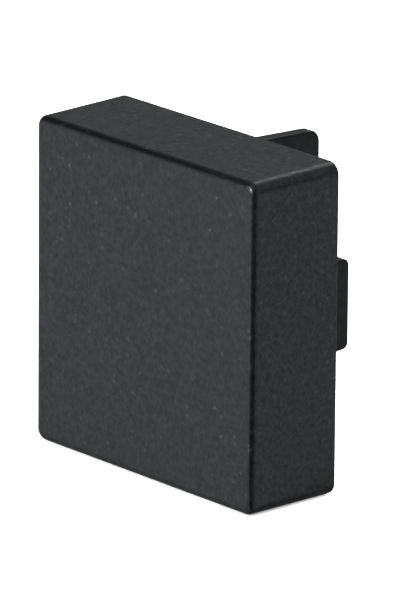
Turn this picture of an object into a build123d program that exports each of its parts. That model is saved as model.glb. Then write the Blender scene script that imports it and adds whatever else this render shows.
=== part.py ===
"""Profile end cap: one injection-moulded piece that closes the sawn end of a hollow profile.

Millimetres. The cap stands on its lower side wall with its show face towards -Y.
Origin: centre of the rim that seats on the sawn end of the profile. +X runs across the width,
+Y runs into the profile, +Z is up.
"""

from build123d import *

import os
from math import radians, tan

# --- driving dimensions ---------------------------------------------------------------------------

CAP_WIDTH = 38.0  # outside, at the rim
CAP_HEIGHT = 40.0  # outside, at the rim
CAP_DEPTH = 13.0  # rim to show face
SIDE_WALL = 2.05  # at the rim, same as the wall of the profile it covers
FACE_WALL = 2.4  # behind the show face
CORNER_RADIUS = 1.5  # the four long corners
FACE_EDGE_RADIUS = 0.85  # where the side walls turn into the show face
RIM_EDGE_RADIUS = 0.2  # outside edge of the rim
POCKET_CORNER = 0.8
DRAFT = 0.6  # degrees, outside walls and pocket walls

BLADE_THICKNESS = 2.0  # at the rim
BLADE_DRAFT = 0.4  # degrees, each flat
BLADE_EDGE_RADIUS = 0.3  # along the narrow edges
BLADE_FOOT_RADIUS = 0.5  # where a blade grows out of the inside of the show face

CENTRE_REACH = 13.75  # past the rim
CENTRE_TAPER = 2.6  # degrees, upper and lower edge
CENTRE_TIP_RADIUS = 1.5

SIDE_REACH = 7.95  # past the rim
SIDE_INSET = 6.5  # outside of the cap to the outer flat of a side blade
SIDE_HEIGHT = 12.1  # at the rim
SIDE_TAPER = 4.5  # degrees, upper and lower edge
SIDE_TIP_RADIUS = 0.8

# --- derived --------------------------------------------------------------------------------------

pocket_width = CAP_WIDTH - 2 * SIDE_WALL
pocket_height = CAP_HEIGHT - 2 * SIDE_WALL
pocket_depth = CAP_DEPTH - FACE_WALL
root_y = -pocket_depth - FACE_WALL / 2  # a blade is sunk halfway into the show face wall
side_blade_x = CAP_WIDTH / 2 - SIDE_INSET - BLADE_THICKNESS / 2


def across(y):
    """A work plane square to the depth direction at this depth, facing the show face."""
    return Plane((0, y, 0), x_dir=(1, 0, 0), z_dir=(0, -1, 0))


def shell():
    """The drafted box with round long corners and round face edge, cored out from the rim side."""
    outline = across(0) * RectangleRounded(CAP_WIDTH, CAP_HEIGHT, CORNER_RADIUS)
    box = extrude(outline, amount=CAP_DEPTH, taper=DRAFT)
    box = fillet(box.faces().sort_by(Axis.Y)[0].edges(), radius=FACE_EDGE_RADIUS)
    box = fillet(box.faces().sort_by(Axis.Y)[-1].edges(), radius=RIM_EDGE_RADIUS)
    opening = across(0) * RectangleRounded(pocket_width, pocket_height, POCKET_CORNER)
    pocket = extrude(opening, amount=pocket_depth, taper=DRAFT)
    return box - pocket


def blade(centre_x, height, reach, taper, tip_radius):
    """An upright plate from the show face wall out past the rim, drafted on all four sides."""

    def section(y):
        thickness = BLADE_THICKNESS - 2 * y * tan(radians(BLADE_DRAFT))
        width_up = height - 2 * y * tan(radians(taper))
        return across(y) * Rectangle(thickness, width_up)

    plate = loft([section(root_y), section(reach)])
    tip_corners = plate.edges().filter_by(Axis.X).group_by(Axis.Y)[-1]
    plate = fillet(tip_corners, radius=tip_radius)
    root_edges = plate.faces().sort_by(Axis.Y)[0].edges()
    narrow_edges = plate.edges() - root_edges - plate.edges().filter_by(Axis.X)
    plate = fillet(narrow_edges, radius=BLADE_EDGE_RADIUS)
    return Pos(centre_x, 0, 0) * plate


def is_foot(edge):
    """True for an edge where a blade grows out of the inside of the show face."""
    box = edge.bounding_box()
    on_floor = max(abs(box.min.Y + pocket_depth), abs(box.max.Y + pocket_depth)) < 0.01
    middle = edge.center()
    off_walls = abs(middle.X) < pocket_width / 2 - 1 and abs(middle.Z) < pocket_height / 2 - 1
    return on_floor and off_walls


cap = shell()
cap += blade(0, pocket_height, CENTRE_REACH, CENTRE_TAPER, CENTRE_TIP_RADIUS)
for side in (-1, 1):
    cap += blade(side * side_blade_x, SIDE_HEIGHT, SIDE_REACH, SIDE_TAPER, SIDE_TIP_RADIUS)
cap = cap.solid()

feet = [edge for edge in cap.edges() if is_foot(edge)]
cap = fillet(feet, radius=BLADE_FOOT_RADIUS)
cap.label = "end_cap"

os.makedirs("parts", exist_ok=True)
export_step(cap, "parts/end_cap.step")
print("end_cap", round(cap.volume, 2), "mm3,", len(cap.solids()), "solid, valid", cap.is_valid)
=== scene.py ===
"""Looks of the profile end cap: its moulded plastic, a pale studio and the camera."""

import math

import bpy
from mathutils import Matrix, Vector


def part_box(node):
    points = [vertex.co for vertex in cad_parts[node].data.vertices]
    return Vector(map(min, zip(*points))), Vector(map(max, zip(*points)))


bl_info = {
    "name": "Profile end cap",
    "version": (1, 0, 0),
    "blender": (4, 5, 0),
    "location": "3D View > Sidebar > End cap",
    "description": "Dresses the moulded end cap and sets up its studio",
    "category": "Object",
}

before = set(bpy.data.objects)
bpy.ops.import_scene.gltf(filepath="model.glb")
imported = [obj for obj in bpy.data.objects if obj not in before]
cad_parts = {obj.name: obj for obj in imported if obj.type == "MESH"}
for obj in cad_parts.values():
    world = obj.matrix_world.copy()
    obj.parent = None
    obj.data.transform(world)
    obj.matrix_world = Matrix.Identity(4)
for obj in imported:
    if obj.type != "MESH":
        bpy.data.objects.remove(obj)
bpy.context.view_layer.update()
CAP_LOW, CAP_HIGH = (Vector(corner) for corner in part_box("end_cap"))

# where the grain of the outside fades in, in metres from the middle of the rim: none, then full
SIDE_FADE = (0.0176, 0.0180)
TOP_FADE = (0.0186, 0.0190)
FACE_FADE = (-0.0112, -0.0118)
RIM_FADE = (-0.00005, -0.00025)
INSIDE_GRAIN = 0.12  # height of the grain inside and on the blades, as a share of the outside's
INSIDE_GLOSS = 0.22
OUTSIDE_GLOSS = (0.45, 0.56)  # in the hollows and on the crests of the mottle

FLOOR_REACH = 3.0
TABLE_REACH = 1.6
TABLE_LIFT = 0.0004  # over the floor
TABLE_STEPS = 8  # flats along the outer edge of each part of the table
FOOT_SHADE = (0.4, 0.0012)  # brightness beside the cap's foot, and how far out it is back to full
WIDE_SHADE = (0.92, 0.045)  # the same for the wide, faint shade round it

LAMP_CORNER = 0.97  # the lamp aims just inside the near upper corner
LAMP_DISTANCE = 0.09
AIM_RIGHT, AIM_UP = 0.00186, 0.00033  # the lens points this far from the middle of the body
SENSOR = 36.0


# --- settings -------------------------------------------------------------------------------------


class EndCapPlastic(bpy.types.PropertyGroup):
    """Colours and grain of the moulded plastic."""

    base: bpy.props.FloatVectorProperty(
        name="Plastic", description="Colour of the plastic", subtype="COLOR", size=3,
        min=0.0, max=1.0, default=(0.0012, 0.0013, 0.0015),
    )
    speck: bpy.props.FloatVectorProperty(
        name="Specks", description="Colour of the fine pale specks in the grain", subtype="COLOR",
        size=3, min=0.0, max=1.0, default=(0.055, 0.057, 0.062),
    )
    roughness: bpy.props.FloatProperty(
        name="Roughness", description="How matt the moulded face is", default=0.36,
        min=0.0, max=1.0, subtype="FACTOR",
    )
    inside_roughness: bpy.props.FloatProperty(
        name="Inside roughness", description="How matt the blades and the inside are",
        default=0.3, min=0.0, max=1.0, subtype="FACTOR",
    )
    grain_size: bpy.props.FloatProperty(
        name="Grain size", description="Distance between bumps of the eroded grain",
        default=0.00036, min=0.00005, max=0.005, subtype="DISTANCE", unit="LENGTH",
    )
    grain_depth: bpy.props.FloatProperty(
        name="Grain depth", description="Height of the grain", default=0.000022, min=0.0, max=0.001,
        subtype="DISTANCE", unit="LENGTH",
    )


class EndCapStudio(bpy.types.PropertyGroup):
    """Floor, lights and camera."""

    floor_colour: bpy.props.FloatVectorProperty(
        name="Floor", description="Colour of the floor", subtype="COLOR", size=3, min=0.0, max=1.0,
        default=(0.92, 0.92, 0.92),
    )
    floor_glow: bpy.props.FloatProperty(
        name="Floor glow", description="How strongly the translucent floor is lit from below",
        default=0.25, min=0.0,
    )
    light_colour: bpy.props.FloatVectorProperty(
        name="Light", description="Colour of the lamps and of the lit table", subtype="COLOR",
        size=3, min=0.0, max=2.0, default=(0.95, 0.975, 1.03),
    )
    room: bpy.props.FloatProperty(
        name="Room", description="Brightness of the room round the lights", default=0.012,
        min=0.0, subtype="FACTOR",
    )
    back_power: bpy.props.FloatProperty(
        name="Back softbox", description="Power of the softbox above and behind", default=0.7,
        min=0.0, unit="POWER",
    )
    lamp_power: bpy.props.FloatProperty(
        name="Corner lamp",
        description="Power of the small lamp that glints on the near upper corner",
        default=0.07, min=0.0, unit="POWER",
    )
    front_soft_power: bpy.props.FloatProperty(
        name="Front soft light", description="Power of the soft light on the show face",
        default=10.0, min=0.0, unit="POWER",
    )
    rear_soft_power: bpy.props.FloatProperty(
        name="Rear soft light",
        description="Power of the soft light that reaches into the pocket",
        default=40.0, min=0.0, unit="POWER",
    )
    ceiling_power: bpy.props.FloatProperty(
        name="Ceiling", description="Power of the large light overhead that whitens the floor",
        default=4.75, min=0.0, unit="POWER",
    )
    table_left: bpy.props.FloatProperty(
        name="Table left", description="Brightness of the table mirrored in the show face",
        default=0.82, min=0.0,
    )
    table_behind: bpy.props.FloatProperty(
        name="Table behind", description="Brightness of the table behind the rim",
        default=0.35, min=0.0,
    )
    table_front: bpy.props.FloatProperty(
        name="Table front", description="Brightness of the table in front of the show face",
        default=1.25, min=0.0,
    )
    table_right: bpy.props.FloatProperty(
        name="Table right", description="Brightness of the table mirrored in the side wall",
        default=0.6, min=0.0,
    )
    wall_power: bpy.props.FloatProperty(
        name="Back wall", description="Power of the low wall light behind the cap", default=0.54,
        min=0.0, unit="POWER",
    )
    left_power: bpy.props.FloatProperty(
        name="Left wall", description="Power of the low wall light on the show face side",
        default=0.44, min=0.0, unit="POWER",
    )
    fill_power: bpy.props.FloatProperty(
        name="Fills", description="Power of the dim panels that fill the other sides",
        default=0.4, min=0.0, unit="POWER",
    )
    rear_power: bpy.props.FloatProperty(
        name="Rear fill", description="Power of the dim panel behind the side wall",
        default=0.74, min=0.0, unit="POWER",
    )
    azimuth: bpy.props.FloatProperty(
        name="Azimuth", description="Where the camera stands round the cap",
        default=math.radians(47.963), subtype="ANGLE", unit="ROTATION",
    )
    elevation: bpy.props.FloatProperty(
        name="Elevation", description="How high the camera looks from",
        default=math.radians(17.607), subtype="ANGLE", unit="ROTATION",
    )
    roll: bpy.props.FloatProperty(
        name="Roll", description="Turn of the camera about its own line of sight",
        default=math.radians(0.493), subtype="ANGLE", unit="ROTATION",
    )
    distance: bpy.props.FloatProperty(
        name="Distance", description="Camera to the middle of the body", default=0.9038,
        subtype="DISTANCE", unit="LENGTH",
    )
    lens: bpy.props.FloatProperty(
        name="Lens", description="Focal length on a 36 mm high sensor", default=468.08, min=1.0,
        unit="CAMERA",
    )


# --- helpers --------------------------------------------------------------------------------------


def new_object(name, mesh):
    """A new object in the scene, at the origin."""
    made = bpy.data.objects.new(name, mesh)
    bpy.context.scene.collection.objects.link(made)
    return made


def area_light(name, place, aim, size, power):
    """A rectangular light at a place, turned towards its aim."""
    data = bpy.data.lights.new(name, "AREA")
    data.shape = "RECTANGLE"
    data.size, data.size_y = size
    data.energy = power
    data.color = bpy.context.scene.end_cap_studio.light_colour
    made = bpy.data.objects.new(name, data)
    made.location = place
    direction = Vector(aim) - Vector(place)
    made.rotation_euler = direction.to_track_quat("-Z", "Y").to_euler()
    bpy.context.scene.collection.objects.link(made)
    return made


def node(tree, kind, place, **values):
    """A new shader node with its settings."""
    made = tree.nodes.new(kind)
    made.location = place
    for key, value in values.items():
        setattr(made, key, value)
    return made


def link(tree, source, target):
    """Join an output to an input."""
    tree.links.new(source, target)


def feed(tree, value, target):
    """Fill an input from another node's output or with a plain value."""
    if isinstance(value, bpy.types.NodeSocket):
        link(tree, value, target)
    else:
        target.default_value = value


def ramp(tree, place, value, low, high, out_low=0.0, out_high=1.0, smooth=False):
    """Map a value from one range to another, clamped."""
    made = node(tree, "ShaderNodeMapRange", place)
    if smooth:
        made.interpolation_type = "SMOOTHSTEP"
    made.inputs["From Min"].default_value = low
    made.inputs["From Max"].default_value = high
    made.inputs["To Min"].default_value = out_low
    made.inputs["To Max"].default_value = out_high
    link(tree, value, made.inputs["Value"])
    return made.outputs["Result"]


def maths(tree, place, operation, first, second=0.0):
    """One arithmetic step; each side is a socket or a number."""
    made = node(tree, "ShaderNodeMath", place, operation=operation)
    feed(tree, first, made.inputs[0])
    feed(tree, second, made.inputs[1])
    return made.outputs["Value"]


MIX_SOCKETS = {"FLOAT": (2, 3, 0), "RGBA": (6, 7, 2)}  # both sides and the result, for each kind


def mix(tree, place, kind, factor, first, second):
    """Blend two numbers or two colours; each side is a socket or a plain value."""
    made = node(tree, "ShaderNodeMix", place, data_type=kind)
    side_a, side_b, result = MIX_SOCKETS[kind]
    link(tree, factor, made.inputs[0])
    feed(tree, first, made.inputs[side_a])
    feed(tree, second, made.inputs[side_b])
    return made.outputs[result]


def noise(tree, place, vector, size, detail, roughness=0.5):
    """Cloudy noise of about this size."""
    made = node(tree, "ShaderNodeTexNoise", place)
    made.inputs["Scale"].default_value = 1.0 / size
    made.inputs["Detail"].default_value = detail
    made.inputs["Roughness"].default_value = roughness
    link(tree, vector, made.inputs["Vector"])
    return made.outputs["Fac"]


def flecks(tree, place, vector, spacing, radius, share):
    """Soft round flecks of uneven strength, one in a share of the cells."""
    x, y = place
    cells = node(tree, "ShaderNodeTexVoronoi", place)
    cells.inputs["Scale"].default_value = 1.0 / spacing
    link(tree, vector, cells.inputs["Vector"])
    spot = ramp(tree, (x + 200, y), cells.outputs["Distance"], radius / spacing, 0.0, smooth=True)
    parts = node(tree, "ShaderNodeSeparateColor", (x + 200, y - 200))
    link(tree, cells.outputs["Color"], parts.inputs["Color"])
    strength = ramp(tree, (x + 400, y - 200), parts.outputs["Red"], 1.0 - share, 1.0)
    return maths(tree, (x + 600, y), "MULTIPLY", spot, strength)


# --- the plastic ----------------------------------------------------------------------------------


def grained_outside(tree, coords):
    """1 on the grained outside, 0 inside the pocket, on the rim and on the blades."""
    place = node(tree, "ShaderNodeSeparateXYZ", (-1400, 600))
    link(tree, coords, place.inputs["Vector"])
    across = maths(tree, (-1200, 800), "ABSOLUTE", place.outputs["X"])
    upright = maths(tree, (-1200, 650), "ABSOLUTE", place.outputs["Z"])
    side = ramp(tree, (-1000, 800), across, *SIDE_FADE)
    over = ramp(tree, (-1000, 650), upright, *TOP_FADE)
    face = ramp(tree, (-1000, 500), place.outputs["Y"], *FACE_FADE)
    outer = maths(tree, (-800, 700), "MAXIMUM", side, over)
    outer = maths(tree, (-600, 650), "MAXIMUM", outer, face)
    before_rim = ramp(tree, (-800, 450), place.outputs["Y"], *RIM_FADE)
    return maths(tree, (-400, 600), "MULTIPLY", outer, before_rim)


def moulded_plastic(look):
    """Black filled plastic: grained with pale flecks outside, smoother inside and on the blades."""
    material = bpy.data.materials.new("moulded_black_plastic")
    material.use_nodes = True
    tree = material.node_tree
    tree.nodes.clear()
    out = node(tree, "ShaderNodeOutputMaterial", (1500, 0))
    shader = node(tree, "ShaderNodeBsdfPrincipled", (1200, 0))
    link(tree, shader.outputs["BSDF"], out.inputs["Surface"])
    shader.inputs["IOR"].default_value = 1.5
    coords = node(tree, "ShaderNodeTexCoord", (-1600, 0)).outputs["Object"]
    outer = grained_outside(tree, coords)

    mottle = noise(tree, (-1200, 100), coords, look.grain_size * 1.6, 2.0, 0.65)
    fine = noise(tree, (-1200, -100), coords, look.grain_size * 0.7, 1.0)
    cloud = noise(tree, (-1200, -300), coords, 0.009, 3.0)
    pale = flecks(tree, (-1200, 300), coords, spacing=0.00115, radius=0.00036, share=0.75)
    bright = flecks(tree, (-1200, -700), coords, spacing=0.00165, radius=0.00023, share=0.24)

    # colour: a mottled ground with the flecks on it
    weak = maths(tree, (-450, 300), "MULTIPLY", pale, 0.38)
    strong = maths(tree, (-450, 150), "MULTIPLY", bright, 0.8)
    speck = maths(tree, (-300, 300), "ADD", weak, strong)
    speck = maths(tree, (-150, 300), "MULTIPLY", speck, outer)
    shade = ramp(tree, (-800, 100), mottle, 0.3, 0.7)
    darkest = (*(channel * 0.1 for channel in look.base), 1.0)
    palest = (*(channel * 3.0 for channel in look.base), 1.0)
    ground = mix(tree, (-100, 100), "RGBA", shade, darkest, palest)
    colour = mix(tree, (100, 200), "RGBA", speck, ground, (*look.speck, 1.0))
    link(tree, colour, shader.inputs["Base Color"])

    # gloss: the grain scatters more or less of the light, and wide clouds vary it a little
    low, high = look.roughness - 0.015, look.roughness + 0.015
    rough = ramp(tree, (-500, -200), cloud, 0.3, 0.7, low, high)
    hollows = ramp(tree, (-500, -400), shade, 0.0, 1.0, 0.05, -0.05)
    rough = maths(tree, (-200, -200), "ADD", rough, hollows)
    rough = mix(tree, (300, -200), "FLOAT", outer, look.inside_roughness, rough)
    link(tree, rough, shader.inputs["Roughness"])
    gloss = ramp(tree, (300, -50), shade, 0.0, 1.0, *OUTSIDE_GLOSS)
    gloss = mix(tree, (500, -50), "FLOAT", outer, INSIDE_GLOSS, gloss)
    link(tree, gloss, shader.inputs["Specular IOR Level"])

    # height of the grain
    height = maths(tree, (-700, -600), "MULTIPLY", fine, 0.45)
    height = maths(tree, (-500, -600), "ADD", height, mottle)
    raised = maths(tree, (-450, -750), "MULTIPLY", pale, 0.5)
    height = maths(tree, (-300, -600), "ADD", height, raised)
    depth = ramp(tree, (-100, -500), outer, 0.0, 1.0, INSIDE_GRAIN, 1.0)
    height = maths(tree, (100, -600), "MULTIPLY", height, depth)
    bump = node(tree, "ShaderNodeBump", (900, -400))
    bump.inputs["Strength"].default_value = 1.0
    bump.inputs["Distance"].default_value = look.grain_depth
    link(tree, height, bump.inputs["Height"])
    link(tree, bump.outputs["Normal"], shader.inputs["Normal"])
    return material


# --- the studio -----------------------------------------------------------------------------------


def studio_air(scene):
    """A white background for the camera, and a dim room for the gloss."""
    world = bpy.data.worlds.new("studio_air")
    world.use_nodes = True
    tree = world.node_tree
    shown = tree.nodes["Background"]
    dim = node(tree, "ShaderNodeBackground", (0, -200))
    for background, strength in ((shown, 1.0), (dim, scene.end_cap_studio.room)):
        background.inputs["Color"].default_value = (1.0, 1.0, 1.0, 1.0)
        background.inputs["Strength"].default_value = strength
    path = node(tree, "ShaderNodeLightPath", (0, 300))
    joined = node(tree, "ShaderNodeMixShader", (250, 0))
    link(tree, path.outputs["Is Glossy Ray"], joined.inputs["Fac"])
    link(tree, shown.outputs["Background"], joined.inputs[1])
    link(tree, dim.outputs["Background"], joined.inputs[2])
    link(tree, joined.outputs["Shader"], tree.nodes["World Output"].inputs["Surface"])
    scene.world = world


def outside_span(tree, place, along, middle, half):
    """How far a place on the table lies outside a span of the cap's foot, or 0 within it."""
    x, y = place
    made = maths(tree, (x, y), "SUBTRACT", along, middle)
    made = maths(tree, (x + 150, y), "ABSOLUTE", made)
    made = maths(tree, (x + 300, y), "SUBTRACT", made, half)
    return maths(tree, (x + 450, y), "MAXIMUM", made)


def table_light(name, strength):
    """Light of the pale table: darker under and beside the cap, which shades it."""
    glow = bpy.data.materials.new(name)
    glow.use_nodes = True
    tree = glow.node_tree
    tree.nodes.clear()
    out = node(tree, "ShaderNodeOutputMaterial", (500, 0))
    light = node(tree, "ShaderNodeEmission", (300, 0))
    light.inputs["Color"].default_value = (*bpy.context.scene.end_cap_studio.light_colour, 1.0)
    link(tree, light.outputs["Emission"], out.inputs["Surface"])
    coords = node(tree, "ShaderNodeTexCoord", (-1400, 0)).outputs["Object"]
    place = node(tree, "ShaderNodeSeparateXYZ", (-1200, 0))
    link(tree, coords, place.inputs["Vector"])
    middle_x, half_x = (CAP_LOW.x + CAP_HIGH.x) / 2, (CAP_HIGH.x - CAP_LOW.x) / 2
    middle_y, half_y = CAP_LOW.y / 2, -CAP_LOW.y / 2
    beside = outside_span(tree, (-1000, 100), place.outputs["X"], middle_x, half_x)
    ahead = outside_span(tree, (-1000, -100), place.outputs["Y"], middle_y, half_y)
    away = maths(tree, (-250, 0), "MAXIMUM", beside, ahead)
    dimmed, reach = FOOT_SHADE
    near = ramp(tree, (-100, 100), away, 0.0, reach, dimmed, 1.0, smooth=True)
    dimmed, reach = WIDE_SHADE
    wide = ramp(tree, (-100, -100), away, 0.0, reach, strength * dimmed, strength)
    link(tree, maths(tree, (100, 0), "MULTIPLY", near, wide), light.inputs["Strength"])
    return glow


def table_glow(name, floor_z, start, end, strength):
    """The part of the pale table that the cap mirrors between two headings, as a soft reflector."""
    turn = (end - start) / TABLE_STEPS
    headings = [math.radians(start + turn * i) for i in range(TABLE_STEPS + 1)]
    corner = Vector((CAP_HIGH.x, CAP_LOW.y, floor_z + TABLE_LIFT))
    ring = [corner]
    ring += [corner + Vector((math.cos(a), math.sin(a), 0.0)) * TABLE_REACH for a in headings]
    mesh = bpy.data.meshes.new(name)
    mesh.from_pydata(ring, [], [tuple(range(len(ring)))])
    mesh.materials.append(table_light(name, strength))
    made = new_object(name, mesh)
    made.visible_camera = made.visible_diffuse = False
    made.visible_shadow = made.visible_transmission = False


def studio_floor(studio, floor_z):
    """A plain pale floor, lit a little from below."""
    corners = [(x * FLOOR_REACH, y * FLOOR_REACH, floor_z)
               for x, y in ((-1, -1), (1, -1), (1, 1), (-1, 1))]
    mesh = bpy.data.meshes.new("studio_floor")
    mesh.from_pydata(corners, [], [(0, 1, 2, 3)])
    paint = bpy.data.materials.new("studio_floor_paint")
    paint.use_nodes = True
    shader = paint.node_tree.nodes["Principled BSDF"]
    shader.inputs["Base Color"].default_value = (*studio.floor_colour, 1.0)
    shader.inputs["Roughness"].default_value = 0.9
    shader.inputs["Specular IOR Level"].default_value = 0.1
    shader.inputs["Emission Color"].default_value = (1.0, 1.0, 1.0, 1.0)
    shader.inputs["Emission Strength"].default_value = studio.floor_glow
    mesh.materials.append(paint)
    floor = new_object("studio_floor", mesh)
    floor.visible_glossy = False  # the gloss mirrors the table's parts in its place


def studio_lights(studio, floor_z):
    """The lamps, the parts of the table and the panels that the gloss mirrors."""
    middle = Vector((0.0, 0.0, 0.0))
    area_light("back_softbox", (-0.2, 0.52, 0.576), middle, (0.32, 0.32), studio.back_power)

    corner = Vector((CAP_HIGH.x, CAP_LOW.y, CAP_HIGH.z)) * LAMP_CORNER
    lamp_place = corner + Vector((-0.10, -0.94, 0.32)) * LAMP_DISTANCE
    lamp = area_light("corner_lamp", lamp_place, corner, (0.0144, 0.036), studio.lamp_power)
    lamp.visible_camera = False

    for name, place, size, power, mirrored in (
        ("ceiling", (0.0, 0.0, 1.2), (1.6, 1.6), studio.ceiling_power, True),
        ("front_soft", (0.1, -0.9, 0.45), (0.8, 0.8), studio.front_soft_power, False),
        ("rear_soft", (0.1, 0.95, 0.3), (1.0, 0.6), studio.rear_soft_power, False),
    ):
        soft = area_light(name, place, middle, size, power)
        soft.visible_glossy = mirrored

    for name, start, end, strength in (
        ("table_behind", 75.0, 160.0, studio.table_behind),
        ("table_left", 160.0, 243.0, studio.table_left),
        ("table_front", 243.0, 269.0, studio.table_front),
        ("table_right", -9.0, 75.0, studio.table_right),
    ):
        table_glow(name, floor_z, start, end, strength)

    for name, place, size, power in (
        ("back_wall", (-0.66, 0.58, 0.40), (0.9, 0.68), studio.wall_power),
        ("left_wall", (-0.70, -0.68, 0.15), (0.8, 0.32), studio.left_power),
        ("right_fill", (0.95, 0.15, 0.25), (0.7, 0.4), studio.fill_power),
        ("front_fill", (0.0, -0.97, 0.22), (0.7, 0.4), studio.fill_power),
        ("near_fill", (0.68, -0.68, 0.34), (0.6, 0.35), studio.fill_power / 2),
        ("rear_fill", (0.51, 0.64, 0.53), (0.7, 0.74), studio.rear_power),
    ):
        panel = area_light(name, place, middle, size, power)
        panel.visible_diffuse = False


def studio_camera(scene, studio):
    """The camera, placed by its angles round the middle of the body."""
    azimuth, elevation, roll = studio.azimuth, studio.elevation, studio.roll
    right = Vector((math.cos(azimuth), math.sin(azimuth), 0.0))
    level = math.cos(elevation)
    ahead = Vector((-math.sin(azimuth) * level, math.cos(azimuth) * level, -math.sin(elevation)))
    up = right.cross(ahead)
    right, up = (
        math.cos(roll) * right + math.sin(roll) * up,
        math.cos(roll) * up - math.sin(roll) * right,
    )
    centre = Vector((0.0, CAP_LOW.y / 2, (CAP_LOW.z + CAP_HIGH.z) / 2))
    centre = centre + right * AIM_RIGHT + up * AIM_UP
    data = bpy.data.cameras.new("camera")
    data.sensor_fit = "VERTICAL"
    data.sensor_height = SENSOR
    data.sensor_width = SENSOR
    data.lens = studio.lens
    data.clip_start, data.clip_end = 0.05, 20.0
    camera = bpy.data.objects.new("camera", data)
    basis = Matrix((right, up, -ahead)).transposed().to_4x4()
    camera.matrix_world = Matrix.Translation(centre - ahead * studio.distance) @ basis
    scene.collection.objects.link(camera)
    scene.camera = camera


# --- operators ------------------------------------------------------------------------------------


class ENDCAP_OT_body(bpy.types.Operator):
    """Gives the moulded cap its plastic"""

    bl_idname = "endcap.body"
    bl_label = "Finish the cap"

    def execute(self, context):
        material = moulded_plastic(context.scene.end_cap_plastic)
        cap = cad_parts["end_cap"]
        for place in cap.material_slots:
            place.material = material
        return {"FINISHED"}


class ENDCAP_OT_stage(bpy.types.Operator):
    """Builds the floor, the soft lights and the camera"""

    bl_idname = "endcap.stage"
    bl_label = "Set up the studio"

    def execute(self, context):
        studio = context.scene.end_cap_studio
        floor_z = CAP_LOW.z
        studio_floor(studio, floor_z)
        studio_air(context.scene)
        studio_lights(studio, floor_z)
        studio_camera(context.scene, studio)
        context.scene.view_settings.view_transform = "Standard"
        return {"FINISHED"}


class ENDCAP_PT_panel(bpy.types.Panel):
    """Everything that builds the cap's looks"""

    bl_idname = "ENDCAP_PT_panel"
    bl_label = "Profile end cap"
    bl_space_type = "VIEW_3D"
    bl_region_type = "UI"
    bl_category = "End cap"

    def draw(self, context):
        for settings in (context.scene.end_cap_plastic, context.scene.end_cap_studio):
            column = self.layout.column(align=True)
            for name in settings.__annotations__:
                column.prop(settings, name)
        for step in STEPS:
            self.layout.operator(step.bl_idname)


STEPS = (ENDCAP_OT_body, ENDCAP_OT_stage)
CLASSES = (EndCapPlastic, EndCapStudio, *STEPS, ENDCAP_PT_panel)


def register():
    """Adds the settings, the operators and the panel to Blender."""
    for each in CLASSES:
        bpy.utils.register_class(each)
    bpy.types.Scene.end_cap_plastic = bpy.props.PointerProperty(type=EndCapPlastic)
    bpy.types.Scene.end_cap_studio = bpy.props.PointerProperty(type=EndCapStudio)


def unregister():
    """Takes them out again."""
    del bpy.types.Scene.end_cap_studio
    del bpy.types.Scene.end_cap_plastic
    for each in reversed(CLASSES):
        bpy.utils.unregister_class(each)


def main():
    """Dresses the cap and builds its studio."""
    register()
    bpy.ops.endcap.body()
    bpy.ops.endcap.stage()


if __name__ == "__main__":
    main()
